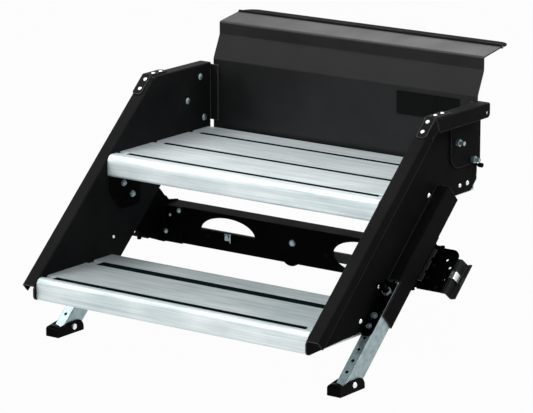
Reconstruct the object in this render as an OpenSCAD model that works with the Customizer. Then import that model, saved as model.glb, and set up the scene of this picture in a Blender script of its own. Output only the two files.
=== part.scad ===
// Fold-down entry step for the door of a caravan or camper. Two treads sit between cranked
// side plates, a bent panel closes the back, and a threshold leaf carries the whole on a hinge.
// Two telescopic legs with swivel feet reach the ground.
//
// Working frame: X runs across the doorway, Y back towards the vehicle from the front groove of
// the upper tread, and Z up from the ground. place() moves the finished pieces so that the
// origin is the middle of the threshold screw line. Pieces that follow the slope are drawn in
// the slope frame of on_slope(): Y runs up the slope and Z stands square to it.

/* [Treads] */
// Clear width between the side plates
clear_w = 600; // [500:10:760]
// Height of the lower tread's top above the ground
first_step_h = 125; // [118:1:140]
// Height from one tread's top to the next
rise = 190; // [175:1:205]
// Depth from one nose to the next
run = 207; // [190:1:225]
// Thickness of both treads
tread_t = 40; // [34:1:44]
// Wall of the tread extrusions
tread_wall = 3; // [2:0.5:4]
// Depth of the upper tread, nose to rear
upper_depth = 309; // [295:1:325]
// Depth of the lower tread, nose to rear
lower_depth = 218; // [205:1:225]
// From the front of a nose to its front groove
nose_d = 31.5; // [28:0.5:36]
// Radius of the nose's top edge
nose_top_r = 13; // [8:0.5:16]
// Radius of the nose's bottom edge
nose_low_r = 5; // [3:0.5:8]
// Distance between the grooves of the upper tread
groove_pitch = 110; // [100:1:112]
// Width of a groove of the upper tread
groove_w = 12; // [5:0.5:12]
// Depth of a groove
groove_depth = 2.6; // [2:0.1:3]
// Length of groove left bare at each end of its strip
strip_end = 23; // [10:1:30]
// How far the strips lie below the tread's face
strip_sunk = 0.2; // [0.2:0.1:1]
// Width of the lower tread's front groove
lower_groove_w = 15; // [5:0.5:15]
// From the lower nose to the middle of its front groove
lower_groove_at = 23.5; // [22:0.5:32]
// Width of the lower tread's wide groove
wide_groove_w = 23; // [14:1:26]
// From the lower nose to the front of the wide groove
wide_groove_at = 141.5; // [138:0.5:146]

/* [Side plates] */
// Sheet thickness of the folded steel pieces
sheet = 2.5; // [2:0.1:3]
// Inside radius of the folds
fold_r = 1; // [0.6:0.1:1.6]
// Height of the side plates above the upper tread's top
side_above = 123.5; // [110:0.5:140]
// Drop of the side plates below the lower tread's top
side_below = 40; // [36:0.5:44]
// Rise of the side plates' lower edge, front to rear
side_low_rise = 8.5; // [0:0.5:12]
// Depth of the side plates, square to the slope
side_depth = 168.5; // [164:0.5:174]
// Front flange ahead of the upper nose, square to the slope
flange_proud = 10; // [6:0.5:14]
// Side plate ahead of the lower nose
side_ahead = 7; // [5:0.5:12]
// Side plate behind the upper tread
side_behind = 4.5; // [3:0.5:6]
// Width of the front flange's turned-back lip
front_lip = 20; // [14:1:26]
// Height of the top flange's turned-down lip
top_lip = 26.5; // [20:0.5:32]
// Length of the leg channel
channel_len = 280.5; // [272:0.5:292]

/* [Back panel] */
// Gap from the side plates' rear edge to the panel's front face
panel_gap = 6.5; // [4:0.5:9]
// Width lost at each end of the panel
panel_end = 2.7; // [1:0.1:6]
// Gap from the side plates' lower rear corner up to the panel's lower edge
panel_lift = 11; // [4:1:16]
// Radius of the panel's lower corners
panel_corner_r = 18; // [6:1:24]
// Inside radius of the crank's two bends
crank_r = 12; // [4:1:14]
// Height of the lower, upright part of the panel above the side plates' top
crank_low = 7.5; // [4:0.5:12]
// Height of the panel's crank
crank_h = 43; // [36:1:50]
// Depth of the panel's crank
crank_d = 19.5; // [12:0.5:26]
// Height of the upper upright part
panel_top_h = 25; // [20:1:30]
// Rise of the sloping top, fold to hinge
top_rise = 10.5; // [7:0.5:14]
// Depth of the sloping top, fold to hinge
top_d = 63; // [56:1:70]

/* [Threshold hinge] */
// Depth of the threshold leaf, hinge line to rear edge
leaf_d = 33; // [31:1:38]
// Radius of the leaf's rear corners
leaf_corner_r = 26; // [12:1:26]
// Radius of the hinge knuckles
knuckle_r = 3.8; // [3.6:0.1:4.4]
// Radius of the hinge pin
hinge_pin_r = 1.6; // [1.2:0.1:2]
// Number of hinge knuckles, shared in turn by panel and leaf
knuckles = 11; // [7:2:15]
// From the hinge line back to the screws
screw_back = 11; // [9.5:0.5:12]
// Distance between the two threshold screws
screw_span = 465; // [400:5:480]
// Radius of the threshold screw holes
screw_hole_r = 2.6; // [2:0.1:3]

/* [Legs] */
// Width of the leg tube, across the step
leg_w = 22; // [20:0.5:24]
// Depth of the leg tube, square to the slope
leg_d = 38; // [34:0.5:40]
// Wall of the leg tube
leg_wall = 2; // [1.5:0.1:2.5]
// Clearance of the leg tube in its channel
leg_gap = 0.4; // [0.3:0.1:0.6]
// Distance between the leg's lock holes
hole_pitch = 24; // [22:1:26]
// Radius of the lock holes
lock_hole_r = 3.3; // [3:0.1:3.6]
// Lock holes below the one in use
holes_below = 7; // [6:1:7]
// Lock holes above the one in use
holes_above = 4; // [3:1:5]
// Height of the foot's pivot above the ground
pivot_h = 12.9; // [12.5:0.1:14]
// From the foot's pivot to its front
foot_front = 44; // [40:1:46]
// From the foot's pivot to its rear
foot_rear = 31; // [28:1:34]
// Wall of the foot
foot_wall = 2.4; // [2:0.1:2.8]
// Tilt of the foot each way
foot_tilt = 18; // [10:1:18]

/* [Crossbar] */
// Height of the crossbar's front face
crossbar_h = 70.5; // [66:0.5:74]
// Depth of the crossbar's top flange
crossbar_d = 44; // [36:1:50]
// Distance of the openings' centres from the middle
opening_x = 151; // [140:1:165]
// Width of an opening
opening_w = 126; // [100:1:134]
// Height of the full opening
opening_h = 58; // [48:1:60]
// Height of the flat bar behind the openings
bar_h = 19; // [16:1:20]
// Thickness of the flat bar
bar_t = 5; // [4:0.5:6]

/* [Door frame hooks] */
// Reach of the end plates from the side plates' clear width
plate_reach = 54; // [50:1:60]
// Length of the end plates along the slope
end_plate_len = 90; // [84:1:94]
// Radius of the end plates' upper outer corner
end_plate_r = 15; // [8:1:18]
// Length of a hook along the slope
hook_len = 74; // [66:1:78]
// Depth of a hook's wall
hook_depth = 15.5; // [12:0.5:20]

/* [Mounting brackets] */
// Depth of a mounting bracket, front edge to rear face
bracket_d = 97; // [90:0.5:100]
// Height of a mounting bracket
bracket_h = 107; // [100:1:108]
// Radius of the bracket's lower front corner
bracket_r = 28; // [15:1:32]
// Radius of the bracket bolts
bracket_bolt_r = 4; // [3:0.1:4.5]

/* [Hidden] */
$fn = 32;

// Finishes
black = "#1d1d1f";
dark_grey = "#4b4c4e";
aluminium = "#c9d0d2";
zinc = "#c3cbd2";
bright = "#f0f1f2";
rubber = "#141415";

// The slope that the noses make
slope = atan2(rise, run);
slope_sin = sin(slope);
slope_cos = cos(slope);

// Points on the slope: c is the distance square to it, s the distance along it
function c_of(y, z) = z * slope_cos - y * slope_sin;
function s_of(y, z) = y * slope_cos + z * slope_sin;
function y_at(s, c) = s * slope_cos - c * slope_sin;
function z_at(s, c) = s * slope_sin + c * slope_cos;
function y_on(c, z) = (z * slope_cos - c) / slope_sin;
function z_on(c, y) = (c + y * slope_sin) / slope_cos;

// Treads
upper_top = first_step_h + rise;
upper_nose_y = -nose_d;
lower_nose_y = upper_nose_y - run;
upper_rear_y = upper_nose_y + upper_depth;
half_w = clear_w / 2;
tread_screw_r = 3;
screw_fit = 0.05;
boss_r = 6;
screw_len = 26;
rib_t = 2.5;
upper_screw_h = upper_top - 22;
upper_screw_y = [upper_rear_y - 149.8, upper_rear_y - 50.5, upper_rear_y - 25.5];
upper_screw_head_r = [5.2, 4, 4.5];
upper_rib_y = [22, 75, upper_rear_y - 99.5];
lower_screw_h = first_step_h - 15.2;
lower_screw_y = [lower_nose_y + 50.5, lower_nose_y + lower_depth - 62.4];
lower_screw_head_r = [5, 5];
lower_rib_y = [lower_nose_y + 95];
lower_groove_y = lower_nose_y + lower_groove_at;
wide_groove_y = lower_nose_y + wide_groove_at + wide_groove_w / 2;
screw_head_t = 2.5;

// Side plates
fold_out = sheet + fold_r;
fold_run = 12;
nose_mid_z = upper_top - tread_t / 2;
front_c = c_of(upper_nose_y, nose_mid_z) + flange_proud;
rear_c = front_c - side_depth;
side_top = upper_top + side_above;
side_low = first_step_h - side_below;
side_front_y = lower_nose_y - side_ahead;
side_rear_y = upper_rear_y + side_behind;
side_rear_low = upper_top - tread_t + 2;
flange_w = leg_w + 2 * leg_gap + 2 * sheet;
flange_x = half_w + flange_w;
flange_low_s = s_of(side_front_y, z_on(front_c, side_front_y));
channel_high_s = s_of(y_on(rear_c, side_rear_low), side_rear_low);
channel_low_s = channel_high_s - channel_len;
side_corner = [y_on(front_c, side_top), side_top];
mitre_dir = unit(unit([-slope_cos, -slope_sin]) + [1, 0]);
mitre_side = [mitre_dir[1], -mitre_dir[0]];
mitre_gap = 0.8;

// Back panel and hinge
panel_y = side_rear_y + panel_gap;
panel_half = half_w - panel_end;
panel_low_z = side_rear_low + panel_lift;
crank_z = side_top + crank_low;
panel_bend = [panel_y + crank_d, crank_z + crank_h + panel_top_h];
hinge_y = panel_bend[0] + top_d;
leaf_top_z = panel_bend[1] + top_rise;
hinge_z = leaf_top_z - sheet / 2;
hinge_gap = 0.5;
edge_back = knuckle_r + hinge_gap;
screw_y = hinge_y + screw_back;
knuckle_len = 2 * panel_half / knuckles;
knuckle_side_gap = 0.4;

// Corner straps
strap_w = 20;
strap_t = 3;
strap_down = 45;
strap_back = 50;
strap_end_r = 6;
rivet_x = flange_x - strap_w / 2 - 3;
rivet_down = [10, 32];
rivet_back = [15.5, 37.5];
rivet_r = 2;
rivet_head_r = 4;
rivet_dimple_r = 1.3;

// Mounting brackets
bracket_t = 3;
bracket_rear_y = panel_y;
bracket_front_y = bracket_rear_y - bracket_d;
bracket_top_z = side_top - sheet - 2;
bracket_low_z = bracket_top_z - bracket_h;
bracket_inboard = 15;
bracket_bolt_at = [[-37, -19], [-76.5, -59], [-25.5, -99]];
bracket_head_r = 6.5;
bracket_head_t = 3;
bolt_fit = 0.05;
nut_r = 7;
nut_t = 6.5;
thread_past = 9;

// Legs
leg_back_c = rear_c + sheet + 0.5;
leg_front_c = leg_back_c + leg_d;
leg_x = half_w + sheet + leg_gap + leg_w / 2;
leg_mid_c = leg_back_c + leg_d / 2;
pivot_y = y_on(leg_mid_c, pivot_h);
pivot_s = s_of(pivot_y, pivot_h);
leg_top_s = channel_high_s - 82;
pin_s = pivot_s + 180;
leg_end_gap = 0.8;
pin_r = 3;
pin_clear = 0.3;
pin_travel = 8;
pivot_bolt_r = 4;
pivot_fit = 0.05;
foot_base_t = 3;
foot_h = 22.3;
foot_gap = 0.4;
foot_half = leg_w / 2 + foot_gap + foot_wall;
foot_end_r = 17;
foot_nose = 11;
foot_nose_r = 4;
foot_crown = 5.3;
foot_brow = 14;

// Pin brackets
guide_t = 2.5;
guide_c = leg_front_c + leg_gap;
guide_front_c = guide_c + guide_t;
guide_flange = 10.2;
guide_low_s = pivot_s + 88;
guide_high_s = pin_s + 22;
barrel_r = 6;
barrel_h = 17;
barrel_bore_r = 4.8;
barrel_lid = 2;
base_nut_r = 8.6;
base_nut_t = 6;
collar_t = 2;
knob_r = 6;
knob_h = 7;
knob_gap = 0.3;
spring_gap = 0.4;
spring_h = barrel_h - barrel_lid - collar_t - pin_travel - 2 * spring_gap;
closed_s = guide_high_s + 4;
guide_nut_s = [pin_s - 74, pin_s - 52];
guide_nut_r = [5, 6.3];
guide_nut_t = [3.5, 5];

// Crossbar, and the gussets, end plates and hooks at its ends
crossbar_up = 141.2;
crossbar_s = pin_s + crossbar_up;
crossbar_back = 33.2;
crossbar_y = y_at(crossbar_s, rear_c - crossbar_back);
crossbar_top = z_at(crossbar_s, rear_c - crossbar_back);
crossbar_low = crossbar_top - crossbar_h;
opening_drop = 36;
opening_z = crossbar_top - opening_drop;
bar_top_z = opening_z + 1.8;
bar_y = crossbar_y + sheet;
bar_half = 250;
end_bolts = [[36.6, -6.6], [15.4, -17.5], [5.5, -50.5]];
end_bolt_r = [5, 3.2, 5];
end_bolt_t = [4.5, 3, 4.5];
middle_bolt = [-3, -31];
clip_bolt = [-151, -40];
bar_rivets = [[-197, -47], [72, -43]];
bar_rivet_r = 2;
bolt_r = 2.9;
end_plate_t = 3;
end_plate_c = rear_c - 45;
gusset_s = [pin_s + 56, pin_s + 154];
gusset_flange = 44;
gusset_tab = 12;
gusset_step = 35;
gusset_tab_y = y_at(gusset_s[0] + 3, rear_c - 23);
gusset_tab_z = z_at(gusset_s[0] + 3, rear_c - 23) + 7.6;
plate_s = [pin_s + 68, pin_s + 68 + end_plate_len];
plate_x = half_w + plate_reach;
plate_holes = [[12.2, 25.5], [12.3, 52.4], [45, 25.6], [45.2, 52.5], [32.5, 67.3], [37.5, 8]];
plate_hole_r = 3;
strip_reach = 33.4;
strip_s = [pin_s + 62, pin_s + 130];
strip_notches = [21, 47.5];
notch_r = 4;
hook_s0 = pin_s + 69;
hook_x = plate_x + 8.5;

tiny = 0.01;

// Vectors and outlines

function unit(v) = v / norm(v);

// Points of an arc that rounds corner b between a and c
function corner(a, b, c, r, steps = 6) =
    let (
        u = unit(a - b),
        w = unit(c - b),
        half = acos(u * w) / 2,
        centre = b + unit(u + w) * r / sin(half),
        start = b + u * r / tan(half) - centre,
        end = b + w * r / tan(half) - centre,
        first = atan2(start[1], start[0]),
        sweep = atan2(cross(start, end), start * end)
    )
    [for (i = [0:steps]) centre + r * [cos(first + sweep * i / steps), sin(first + sweep * i / steps)]];

// A closed outline with each corner rounded by its own radius
function rounded(points, radii) =
    let (n = len(points))
    [for (i = [0:n - 1]) each
        radii[i] > 0
            ? corner(points[(i + n - 1) % n], points[i], points[(i + 1) % n], radii[i])
            : [points[i]]];

// The outline of a folded sheet: path is one face, and the sheet lies on its right-hand side.
// The radius is inside the bend, the same for all bends or a list with one for each point.
function folded(path, t, r) =
    let (
        n = len(path),
        inside = [for (i = [0:n - 1]) is_list(r) ? r[i] : r],
        dirs = [for (i = [0:n - 2]) unit(path[i + 1] - path[i])],
        normals = [for (d = dirs) [d[1], -d[0]]],
        other = [for (i = [0:n - 1])
            i == 0 ? path[0] + t * normals[0]
            : i == n - 1 ? path[i] + t * normals[i - 1]
            : path[i] + t * (normals[i - 1] + normals[i]) / (1 + normals[i - 1] * normals[i])],
        turns = [for (i = [0:n - 1]) i == 0 || i == n - 1 ? 0 : cross(dirs[i - 1], dirs[i])],
        near_r = [for (i = [0:n - 1]) turns[i] == 0 ? 0 : inside[i] + (turns[i] < 0 ? t : 0)],
        far_r = [for (i = [0:n - 1]) turns[i] == 0 ? 0 : inside[i] + (turns[i] < 0 ? 0 : t)],
        back = [n - 1:-1:0]
    )
    rounded(
        concat(path, [for (i = back) other[i]]),
        concat(near_r, [for (i = back) far_r[i]])
    );

function box_outline(low, high) = [low, [high[0], low[1]], high, [low[0], high[1]]];

function oval(w, h, steps = 48) =
    [for (i = [0:steps - 1]) [w / 2 * cos(360 * i / steps), h / 2 * sin(360 * i / steps)]];

// Placing

module place() {
    translate([0, -screw_y, -leaf_top_z])
        children();
}

module on_slope() {
    rotate([slope, 0, 0])
        children();
}

// Extrudes an outline of the YZ plane from x0 to x1
module along_x(x0, x1) {
    translate([x0, 0, 0])
        rotate([90, 0, 90])
            linear_extrude(x1 - x0)
                children();
}

// Extrudes an outline of the XZ plane from y0 to y1
module along_y(y0, y1) {
    translate([0, y1, 0])
        rotate([90, 0, 0])
            linear_extrude(y1 - y0)
                children();
}

module on_left() {
    mirror([1, 0, 0])
        children();
}

module on_both() {
    children();
    on_left()
        children();
}

// A cylinder along X
module rod_x(r, x0, x1, y, z) {
    translate([x0, y, z])
        rotate([0, 90, 0])
            cylinder(r = r, h = x1 - x0);
}

// A cylinder along Y
module rod_y(r, y0, y1, x, z) {
    translate([x, y1, z])
        rotate([90, 0, 0])
            cylinder(r = r, h = y1 - y0);
}

// A low domed head that stands on the XY plane
module dome(r, h) {
    crown_r = (r * r + h * h) / (2 * h);
    rotate_extrude()
        polygon(concat(
            [[0, 0], [r, 0]],
            [for (i = [1:8]) let (a = asin(r / crown_r) * (1 - i / 8)) [
                crown_r * sin(a), crown_r * cos(a) - crown_r + h
            ]]
        ));
}

// A domed head on the face at x, looking along +X
module dome_x(r, h, x, y, z) {
    translate([x, y, z])
        rotate([0, 90, 0])
            dome(r, h);
}

// A domed head on the face at y, looking along -Y
module dome_y(r, h, x, y, z) {
    translate([x, y, z])
        rotate([90, 0, 0])
            dome(r, h);
}

// A hexagon nut along X with its bore
module nut_x(r, t, bore_r, x, y, z) {
    difference() {
        translate([x, y, z])
            rotate([0, 90, 0])
                cylinder(r = r, h = t, $fn = 6);
        rod_x(bore_r, x - 1, x + t + 1, y, z);
    }
}

// Threshold hinge

module pin_bore() {
    rod_x(hinge_pin_r + 0.05, -half_w, half_w, hinge_y, hinge_z);
}

// Every second knuckle from the first one named
module knuckle_row(first) {
    for (i = [first:2:knuckles - 1]) {
        x0 = -panel_half + i * knuckle_len + knuckle_side_gap / 2;
        rod_x(knuckle_r, x0, x0 + knuckle_len - knuckle_side_gap, hinge_y, hinge_z);
    }
}

module threshold_leaf() {
    rear_y = hinge_y + leaf_d;
    plan = rounded(
        box_outline([-panel_half, hinge_y + edge_back], [panel_half, rear_y]),
        [0, 0, leaf_corner_r, leaf_corner_r]
    );
    color(black)
        difference() {
            union() {
                translate([0, 0, leaf_top_z - sheet])
                    linear_extrude(sheet)
                        polygon(plan);
                knuckle_row(1);
                for (i = [1:2:knuckles - 1])
                    translate([
                        -panel_half + i * knuckle_len + knuckle_side_gap / 2, hinge_y, leaf_top_z - sheet
                    ])
                        cube([knuckle_len - knuckle_side_gap, edge_back + 1, sheet]);
            }
            pin_bore();
            for (side = [-1, 1])
                translate([side * screw_span / 2, screw_y, leaf_top_z - sheet - 1])
                    cylinder(r = screw_hole_r, h = sheet + 2);
        }
}

module hinge_pin() {
    color(zinc)
        rod_x(hinge_pin_r, -panel_half, panel_half, hinge_y, hinge_z);
}

// Back panel

function panel_top_point(y) =
    panel_bend + [y - panel_bend[0], (y - panel_bend[0]) * top_rise / top_d];

module back_panel() {
    face = [
        [panel_y, panel_low_z],
        [panel_y, crank_z],
        [panel_y + crank_d, crank_z + crank_h],
        panel_bend,
        panel_top_point(hinge_y - edge_back)
    ];
    link = [for (y = [hinge_y - edge_back - 1, hinge_y]) panel_top_point(y)];
    front_outline = rounded(
        box_outline([-panel_half, panel_low_z], [panel_half, leaf_top_z + sheet]),
        [panel_corner_r, panel_corner_r, 0, 0]
    );
    color(black)
        difference() {
            union() {
                intersection() {
                    along_x(-panel_half, panel_half)
                        polygon(folded(face, sheet, [0, crank_r, crank_r, 2 * fold_r, 0]));
                    along_y(panel_y - sheet, hinge_y)
                        polygon(front_outline);
                }
                knuckle_row(0);
                for (i = [0:2:knuckles - 1]) {
                    x0 = -panel_half + i * knuckle_len + knuckle_side_gap / 2;
                    along_x(x0, x0 + knuckle_len - knuckle_side_gap)
                        polygon([link[0], link[1], link[1] - [0, sheet], link[0] - [0, sheet]]);
                }
            }
            pin_bore();
        }
}

label_w = 137;
label_h = 43.5;
label_end = 105.8;
label_x = panel_half - label_end;
label_below = 24.7;
label_t = 0.8;

module label_plate() {
    color("#2b2b2d")
        translate([label_x - label_w / 2, panel_y, side_top - label_below - label_h / 2])
            rotate([90, 0, 0])
                linear_extrude(label_t)
                    polygon(rounded(box_outline([0, 0], [label_w, label_h]), [3, 3, 3, 3]));
}

// Mounting brackets

module at_bracket_bolts() {
    for (at = bracket_bolt_at)
        translate([0, bracket_rear_y + at[0], bracket_top_z + at[1]])
            children();
}

module mount_bracket() {
    low = [bracket_front_y, bracket_low_z];
    high = [bracket_rear_y, bracket_top_z];
    color(black)
        difference() {
            union() {
                along_x(half_w + sheet, half_w + sheet + bracket_t)
                    polygon(rounded(box_outline(low, high), [bracket_r, 0, 0, 3]));
                translate([half_w - bracket_inboard, bracket_rear_y - sheet, bracket_low_z])
                    cube([bracket_inboard + sheet + bracket_t, sheet, bracket_h]);
            }
            at_bracket_bolts()
                rod_x(bracket_bolt_r + bolt_fit, half_w, half_w + 20, 0, 0);
        }
}

module bracket_bolts() {
    outer_x = half_w + sheet + bracket_t;
    color(zinc)
        on_both()
            at_bracket_bolts() {
                rod_x(bracket_bolt_r, half_w - tiny, outer_x + nut_t + thread_past, 0, 0);
                translate([half_w, 0, 0])
                    rotate([0, -90, 0])
                        dome(bracket_head_r, bracket_head_t);
            }
}

module bracket_nuts() {
    color(zinc)
        on_both()
            at_bracket_bolts()
                nut_x(nut_r, nut_t, bracket_bolt_r + bolt_fit, half_w + sheet + bracket_t, 0, 0);
}

// Side plates

module mitre_half(side) {
    edge = side_corner + side * mitre_gap * mitre_side;
    along_x(half_w - 5, flange_x + 5)
        polygon([
            edge - 20 * mitre_dir,
            edge + 400 * mitre_dir,
            edge + 400 * mitre_dir + side * 800 * mitre_side,
            edge - 20 * mitre_dir + side * 800 * mitre_side
        ]);
}

module side_web() {
    edge_c = front_c - fold_out;
    edge_z = side_top - fold_out;
    back_c = rear_c + fold_out;
    rear_low = side_low + side_low_rise;
    outline = [
        [side_front_y, side_low],
        [side_front_y, z_on(edge_c, side_front_y)],
        [y_on(edge_c, edge_z), edge_z],
        [side_rear_y, edge_z],
        [side_rear_y, side_rear_low + 18],
        [side_rear_y - 19, side_rear_low],
        [y_on(back_c, side_rear_low), side_rear_low],
        [y_on(back_c, rear_low), rear_low]
    ];
    along_x(half_w, half_w + sheet)
        polygon(rounded(outline, [9, 0, 0, 0, 3, 3, 0, 0]));
}

module front_flange() {
    path = [
        [half_w, front_c - fold_run],
        [half_w, front_c],
        [flange_x, front_c],
        [flange_x, front_c - front_lip]
    ];
    intersection() {
        on_slope()
            along_y(flange_low_s, flange_low_s + 700)
                polygon(folded(path, sheet, fold_r));
        mitre_half(1);
    }
}

module top_flange() {
    path = [
        [half_w, side_top - fold_run],
        [half_w, side_top],
        [flange_x, side_top],
        [flange_x, side_top - top_lip]
    ];
    corner_r = 8;
    corner_y = side_rear_y + 2;
    difference() {
        intersection() {
            along_y(side_corner[0] - 60, corner_y)
                polygon(folded(path, sheet, fold_r));
            mitre_half(-1);
        }
        difference() {
            translate([flange_x - sheet - 1, corner_y - corner_r, side_top - top_lip - 1])
                cube([sheet + 2, corner_r + 1, corner_r + 1]);
            rod_x(
                corner_r, flange_x - sheet - 2, flange_x + 2,
                corner_y - corner_r, side_top - top_lip + corner_r
            );
        }
    }
}

// Open in front beside the pin bracket and closed above it
module leg_channel() {
    open_path = [
        [flange_x, leg_front_c],
        [flange_x, rear_c],
        [half_w, rear_c],
        [half_w, rear_c + fold_run]
    ];
    front_face = leg_front_c + leg_gap + sheet;
    closed_path = concat(
        [[half_w + sheet / 2, front_face], [flange_x, front_face]],
        [for (i = [1:3]) open_path[i]]
    );
    on_slope() {
        along_y(channel_low_s, closed_s)
            polygon(folded(open_path, sheet, fold_r));
        along_y(closed_s, channel_high_s)
            polygon(folded(closed_path, sheet, fold_r));
    }
}

module at_upper_screws() {
    for (y = upper_screw_y)
        translate([0, y, upper_screw_h])
            children();
}

module at_lower_screws() {
    for (y = lower_screw_y)
        translate([0, y, lower_screw_h])
            children();
}

tread_gusset_t = 4;
tread_gusset_z = upper_top - tread_t - 2;
tread_gusset_h = 66;
gusset_bolt_at = [[9, tread_gusset_z - 17], [34.5, tread_gusset_z - 42.5]];
gusset_bolt_r = 3.2;
web_rivet_at = [pin_s + 7.2, leg_front_c + 5.5];
web_rivet_r = 1.6;
web_stud_at = [pin_s - 0.2, leg_front_c + 16];
web_stud_r = 2;
web_stud_depth = 1.2;
rear_hole_at = [side_rear_y - 6.3, side_top - 17.2];
rear_hole_r = 3.2;
top_hole_at = [side_corner[0] + 38, side_top - 16];

module side_plate() {
    lip_hole_r = 1.5;
    color(black)
        difference() {
            union() {
                side_web();
                front_flange();
                top_flange();
                leg_channel();
            }
            at_upper_screws()
                rod_x(tread_screw_r + screw_fit, half_w - 1, half_w + 5, 0, 0);
            at_lower_screws()
                rod_x(tread_screw_r + screw_fit, half_w - 1, half_w + 5, 0, 0);
            at_bracket_bolts()
                rod_x(bracket_bolt_r + bolt_fit, half_w - 1, half_w + 5, 0, 0);
            on_slope() {
                rod_x(web_rivet_r + bolt_fit, half_w - 1, half_w + 5, web_rivet_at[0], web_rivet_at[1]);
                rod_x(
                    web_stud_r + bolt_fit, half_w + sheet - web_stud_depth, half_w + 5,
                    web_stud_at[0], web_stud_at[1]
                );
            }
            at_strap_rivets()
                translate([0, 0, -sheet - 1])
                    cylinder(r = rivet_r + bolt_fit, h = sheet + 2);
            rod_x(rear_hole_r, flange_x - 5, flange_x + 5, rear_hole_at[0], rear_hole_at[1]);
            rod_x(lip_hole_r, flange_x - 5, flange_x + 5, top_hole_at[0], top_hole_at[1]);
            on_slope()
                rod_x(
                    lip_hole_r, flange_x - 5, flange_x + 5,
                    s_of(side_corner[0], side_corner[1]) - 30, front_c - front_lip + 4
                );
        }
}

// Corner straps

// Places a rivet on each flange face, with the face as its XY plane
module at_strap_rivets() {
    corner_s = s_of(side_corner[0], side_corner[1]);
    for (d = rivet_down)
        on_slope()
            translate([rivet_x, corner_s - d, front_c])
                children();
    for (d = rivet_back)
        translate([rivet_x, side_corner[0] + d, side_top])
            children();
}

module corner_strap() {
    corner_s = s_of(side_corner[0], side_corner[1]);
    x0 = flange_x - strap_w - 1;
    x1 = x0 + strap_w;
    bend_steps = 6;
    color(black)
        difference() {
            union() {
                on_slope()
                    translate([0, 0, front_c])
                        linear_extrude(strap_t)
                            polygon(rounded(
                                box_outline([x0, corner_s - strap_down], [x1, corner_s]),
                                [strap_end_r, strap_end_r, 0, 0]
                            ));
                translate([0, 0, side_top])
                    linear_extrude(strap_t)
                        polygon(rounded(
                            box_outline([x0, side_corner[0]], [x1, side_corner[0] + strap_back]),
                            [0, 0, strap_end_r, strap_end_r]
                        ));
                along_x(x0, x1)
                    polygon(concat([side_corner], [for (i = [0:bend_steps])
                        side_corner + strap_t * [
                            -sin(slope * i / bend_steps), cos(slope * i / bend_steps)
                        ]]));
            }
            at_strap_rivets()
                translate([0, 0, -1])
                    cylinder(r = rivet_r + bolt_fit, h = strap_t + 2);
        }
}

module strap_rivets() {
    tail = 1.2;
    color(bright)
        on_both()
            at_strap_rivets() {
                translate([0, 0, -sheet - tail])
                    cylinder(r = rivet_r, h = sheet + strap_t + tail + tiny);
                difference() {
                    translate([0, 0, strap_t])
                        dome(rivet_head_r, 1.8);
                    translate([0, 0, strap_t + 0.9])
                        cylinder(r = rivet_dimple_r, h = 2);
                }
                translate([0, 0, -sheet - tail])
                    cylinder(r = rivet_r + 1, h = tail);
            }
}

// Treads

// One rectangular chamber between two ribs
module chamber(y0, y1, z0, z1) {
    if (y1 - y0 > 4)
        polygon(rounded(box_outline([y0, z0], [y1, z1]), [1.5, 1.5, 1.5, 1.5]));
}

// Walls between neighbouring chambers, as their middle lines in order from the front
module tread_outline(nose_y, depth, top, walls) {
    low = top - tread_t;
    inner_top = top - tread_wall;
    inner_low = low + tread_wall;
    edges = concat([nose_y + tread_wall - rib_t / 2], walls, [nose_y + depth - tread_wall + rib_t / 2]);
    difference() {
        polygon(rounded(
            box_outline([nose_y, low], [nose_y + depth, top]), [nose_low_r, 1, 1, nose_top_r]
        ));
        polygon(rounded(
            box_outline([edges[0] + rib_t / 2, inner_low], [edges[1] - rib_t / 2, inner_top]),
            [nose_low_r - 2, 1.5, 1.5, nose_top_r - tread_wall]
        ));
        for (i = [1:len(edges) - 2])
            chamber(edges[i] + rib_t / 2, edges[i + 1] - rib_t / 2, inner_low, inner_top);
    }
}

module screw_boss(y, z) {
    translate([y, z])
        circle(r = boss_r);
}

// A groove in a tread's top face, or a box that fills part of it
module groove(y, w, top, end = -1, low = groove_depth, high = -1) {
    translate([-half_w + end, y - w / 2, top - low])
        cube([clear_w - 2 * end, w, low - high]);
}

module upper_tread() {
    walls = [
        upper_rib_y[0], upper_rib_y[1], upper_screw_y[0], upper_rib_y[2], upper_screw_y[1], upper_screw_y[2]
    ];
    color(aluminium)
        difference() {
            along_x(-half_w, half_w) {
                tread_outline(upper_nose_y, upper_depth, upper_top, walls);
                for (y = upper_screw_y)
                    screw_boss(y, upper_screw_h);
                for (i = [0:2])
                    groove_wall(i * groove_pitch, groove_w, upper_top);
            }
            for (i = [0:2])
                groove(i * groove_pitch, groove_w, upper_top);
            for (y = upper_screw_y)
                for (x = [-half_w - 1, half_w - screw_len])
                    rod_x(tread_screw_r + screw_fit, x, x + screw_len + 1, y, upper_screw_h);
        }
}

// The thicker wall below a groove
module groove_wall(y, w, top) {
    translate([y - w / 2 - tread_wall, top - groove_depth - tread_wall])
        square([w + 2 * tread_wall, groove_depth + tread_wall - 1]);
}

module lower_tread() {
    walls = [lower_screw_y[0], lower_rib_y[0], lower_screw_y[1]];
    color(aluminium)
        difference() {
            along_x(-half_w, half_w) {
                tread_outline(lower_nose_y, lower_depth, first_step_h, walls);
                for (y = lower_screw_y)
                    screw_boss(y, lower_screw_h);
                groove_wall(lower_groove_y, lower_groove_w, first_step_h);
                groove_wall(wide_groove_y, wide_groove_w, first_step_h);
            }
            groove(lower_groove_y, lower_groove_w, first_step_h);
            groove(wide_groove_y, wide_groove_w, first_step_h);
            for (y = lower_screw_y)
                for (x = [-half_w - 1, half_w - screw_len])
                    rod_x(tread_screw_r + screw_fit, x, x + screw_len + 1, y, lower_screw_h);
        }
}

// Black strips pressed into the grooves
module tread_strips() {
    color(rubber) {
        for (i = [0:2])
            groove(i * groove_pitch, groove_w, upper_top, strip_end, groove_depth, strip_sunk);
        groove(lower_groove_y, lower_groove_w, first_step_h, strip_end, groove_depth, strip_sunk);
        groove(wide_groove_y, wide_groove_w, first_step_h, strip_end, groove_depth, strip_sunk);
    }
}

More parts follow.
